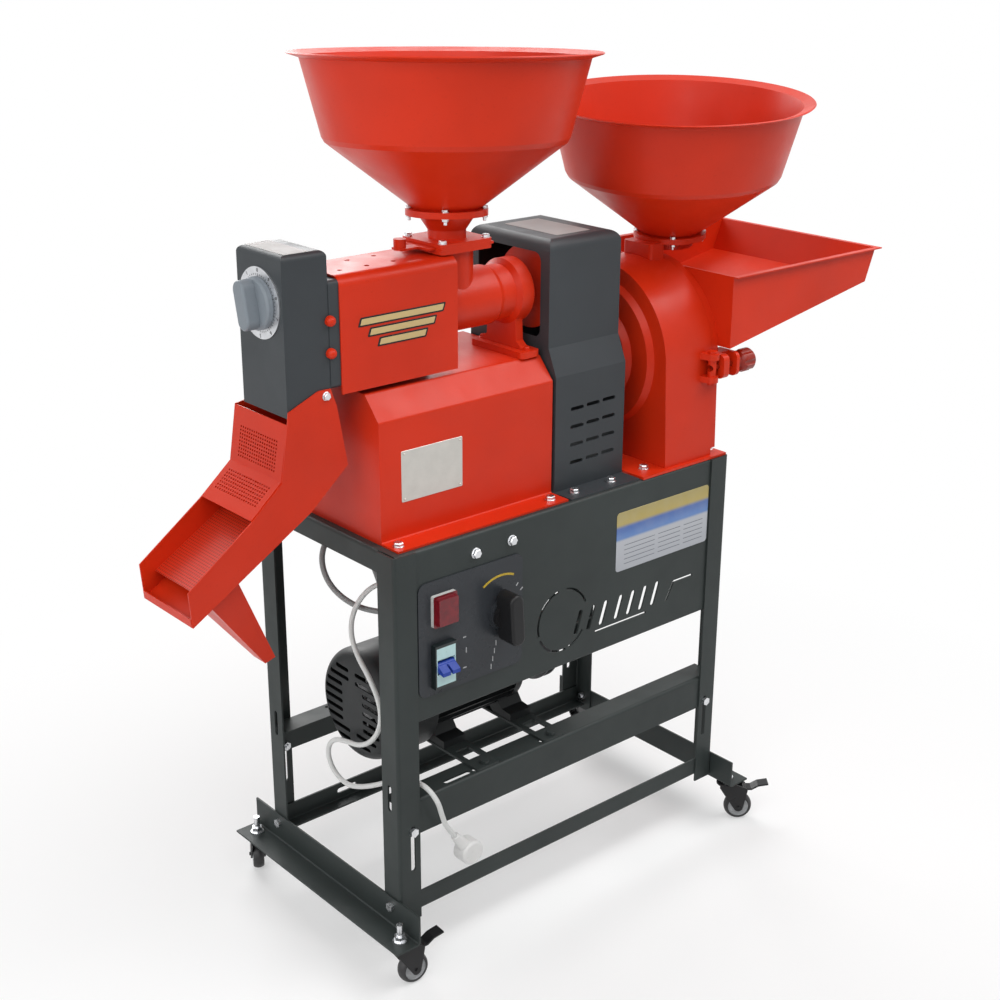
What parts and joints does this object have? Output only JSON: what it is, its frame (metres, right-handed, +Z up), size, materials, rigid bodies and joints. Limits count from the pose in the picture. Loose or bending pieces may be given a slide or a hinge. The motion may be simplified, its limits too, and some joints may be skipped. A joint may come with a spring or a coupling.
{
  "type": "combined rice mill and grain crusher",
  "caption": "Rice mill and grain crusher with round hoppers, feed tray, dial-set outlet head and chute on a castered sheet-steel stand, belt driven by a motor below the table",
  "frame": {"origin": "on the floor under the middle of the stand", "axes": "+X to the crusher end, -Y the control panel side, +Z up"},
  "size_m": [1.3373, 0.4946, 1.3693],
  "materials": {
    "red_paint": "semi-gloss powder coat",
    "charcoal_paint": "satin powder coat",
    "slate_paint": "satin powder coat",
    "zinc_steel": "bright zinc plate",
    "motor_paint": "satin enamel",
    "shaft_steel": "machined",
    "pulley_iron": "oiled cast iron",
    "belt_rubber": "matt",
    "dial_metal": "satin",
    "knob_grey": "satin",
    "panel_plastic": "semi-gloss",
    "black_plastic": "matt",
    "lamp_red": "clear gloss",
    "breaker_white": "semi-gloss",
    "toggle_blue": "semi-gloss",
    "lead_pale": "satin sheath",
    "lead_grey": "satin sheath",
    "plug_white": "semi-gloss",
    "black_metal": "gloss enamel",
    "wheel_rubber": "satin rubber on a hard hub"
  },
  "bodies": {
    "stand": {"legs": "charcoal_paint", "front_panel": "charcoal_paint", "top_rails": "charcoal_paint", "motor_rails": "charcoal_paint", "bottom_rails": "charcoal_paint", "base_angles": "charcoal_paint", "frame_bolts": "zinc_steel", "caster_studs": "zinc_steel", "motor_bars": "charcoal_paint", "motor_body": "motor_paint", "motor_cowl": "motor_paint", "mill_belt": "belt_rubber", "crusher_belt": "belt_rubber", "mill_base": "red_paint", "mill_casing": "red_paint", "chamber_saddle": "pulley_iron", "mill_screen": "shaft_steel", "inlet_barrel": "red_paint", "hopper_neck": "red_paint", "mill_hopper": "red_paint", "crusher_hopper": "red_paint", "outlet_head": "slate_paint", "dial_plate": "dial_metal", "chute": "red_paint", "chute_sieve": "red_paint", "belt_guard": "slate_paint", "crusher_housing": "red_paint", "crusher_sieve": "shaft_steel", "discharge_spout": "red_paint", "control_plate": "panel_plastic", "switch_box": "black_plastic", "pilot_lamp": "lamp_red", "breaker": "breaker_white", "mains_lead": "lead_pale", "motor_lead": "lead_grey", "mains_plug": "plug_white"},
    "motor_rotor": {"motor_shaft": "shaft_steel", "motor_pulley": "pulley_iron"},
    "mill_rotor": {"mill_shaft": "shaft_steel", "mill_pulley": "red_paint"},
    "crusher_spindle": {"crusher_rotor": "shaft_steel", "crusher_pulley": "pulley_iron"},
    "dial": {"dial_knob": "knob_grey"},
    "pressure": {"pressure_plate": "shaft_steel"},
    "gate": {"feed_gate": "red_paint"},
    "door": {"crusher_door": "red_paint", "feed_tray": "red_paint"},
    "clamp": {"clamp_screw": "red_paint"},
    "toggles": {"breaker_toggles": "toggle_blue"},
    "selector": {"selector_handle": "black_plastic"},
    "front_left_caster": {"front_left_fork": "black_metal"},
    "front_left_roller": {"front_left_wheel": "wheel_rubber"},
    "front_left_pedal": {"front_left_brake": "black_plastic"},
    "front_right_caster": {"front_right_fork": "black_metal"},
    "front_right_roller": {"front_right_wheel": "wheel_rubber"},
    "front_right_pedal": {"front_right_brake": "black_plastic"},
    "rear_left_caster": {"rear_left_fork": "black_metal"},
    "rear_left_roller": {"rear_left_wheel": "wheel_rubber"},
    "rear_right_caster": {"rear_right_fork": "black_metal"},
    "rear_right_roller": {"rear_right_wheel": "wheel_rubber"}
  },
  "joints": [
    {"name": "motor_spin", "type": "hinge", "parent": "stand", "child": "motor_rotor", "pos_m": [0, 0, 0.375], "axis": [1, 0, 0], "continuous": true},
    {"name": "mill_spin", "type": "hinge", "parent": "stand", "child": "mill_rotor", "pos_m": [0, -0.038, 1.004], "axis": [1, 0, 0], "continuous": true},
    {"name": "crusher_spin", "type": "hinge", "parent": "stand", "child": "crusher_spindle", "pos_m": [0.2, -0.005, 0.862], "axis": [1, 0, 0], "continuous": true},
    {"name": "dial_turn", "type": "hinge", "parent": "stand", "child": "dial", "pos_m": [-0.47, -0.038, 1.051], "axis": [1, 0, 0], "range_deg": [0, 270]},
    {"name": "pressure_slide", "type": "slide", "parent": "stand", "child": "pressure", "axis": [1, 0, 0], "range_m": [0, 0.006]},
    {"name": "gate_slide", "type": "slide", "parent": "stand", "child": "gate", "axis": [-1, 0, 0], "range_m": [0, 0.056]},
    {"name": "door_swing", "type": "hinge", "parent": "stand", "child": "door", "pos_m": [0.3253, 0.168, 0.79], "axis": [0, 0, 1], "range_deg": [0, 100]},
    {"name": "clamp_turn", "type": "hinge", "parent": "door", "child": "clamp", "pos_m": [0.36, -0.168, 0.85], "axis": [1, 0, 0], "continuous": true},
    {"name": "toggle_flip", "type": "hinge", "parent": "stand", "child": "toggles", "pos_m": [-0.264, -0.179, 0.505], "axis": [1, 0, 0], "range_deg": [-40, 0]},
    {"name": "selector_turn", "type": "hinge", "parent": "stand", "child": "selector", "pos_m": [-0.15, -0.19, 0.552], "axis": [0, 1, 0], "range_deg": [-60, 60]},
    {"name": "front_left_swivel", "type": "hinge", "parent": "stand", "child": "front_left_caster", "pos_m": [-0.37, -0.198, 0.07], "axis": [0, 0, 1], "continuous": true},
    {"name": "front_left_roll", "type": "hinge", "parent": "front_left_caster", "child": "front_left_roller", "pos_m": [-0.34805, -0.19953, 0.025], "axis": [0.0698, 0.9976, 0], "continuous": true},
    {"name": "front_left_brake_press", "type": "hinge", "parent": "front_left_caster", "child": "front_left_pedal", "pos_m": [-0.33808, -0.20023, 0.06], "axis": [0.0698, 0.9976, 0], "range_deg": [0, 14]},
    {"name": "front_right_swivel", "type": "hinge", "parent": "stand", "child": "front_right_caster", "pos_m": [0.37, -0.198, 0.07], "axis": [0, 0, 1], "continuous": true},
    {"name": "front_right_roll", "type": "hinge", "parent": "front_right_caster", "child": "front_right_roller", "pos_m": [0.38685, -0.21214, 0.025], "axis": [0.6428, 0.766, 0], "continuous": true},
    {"name": "front_right_brake_press", "type": "hinge", "parent": "front_right_caster", "child": "front_right_pedal", "pos_m": [0.39451, -0.21857, 0.06], "axis": [0.6428, 0.766, 0], "range_deg": [0, 14]},
    {"name": "rear_left_swivel", "type": "hinge", "parent": "stand", "child": "rear_left_caster", "pos_m": [-0.37, 0.198, 0.07], "axis": [0, 0, 1], "continuous": true},
    {"name": "rear_left_roll", "type": "hinge", "parent": "rear_left_caster", "child": "rear_left_roller", "pos_m": [-0.35967, 0.21743, 0.025], "axis": [-0.8829, 0.4695, 0], "continuous": true},
    {"name": "rear_right_swivel", "type": "hinge", "parent": "stand", "child": "rear_right_caster", "pos_m": [0.37, 0.198, 0.07], "axis": [0, 0, 1], "continuous": true},
    {"name": "rear_right_roll", "type": "hinge", "parent": "rear_right_caster", "child": "rear_right_roller", "pos_m": [0.39067, 0.20552, 0.025], "axis": [-0.342, 0.9397, 0], "continuous": true}
  ],
  "couplings": [
    {"joint": "mill_spin", "follows": "motor_spin", "ratio": 0.63682},
    {"joint": "crusher_spin", "follows": "motor_spin", "ratio": 1.841},
    {"joint": "pressure_slide", "follows": "dial_turn", "m_per_rad": 0.0012732}
  ]
}
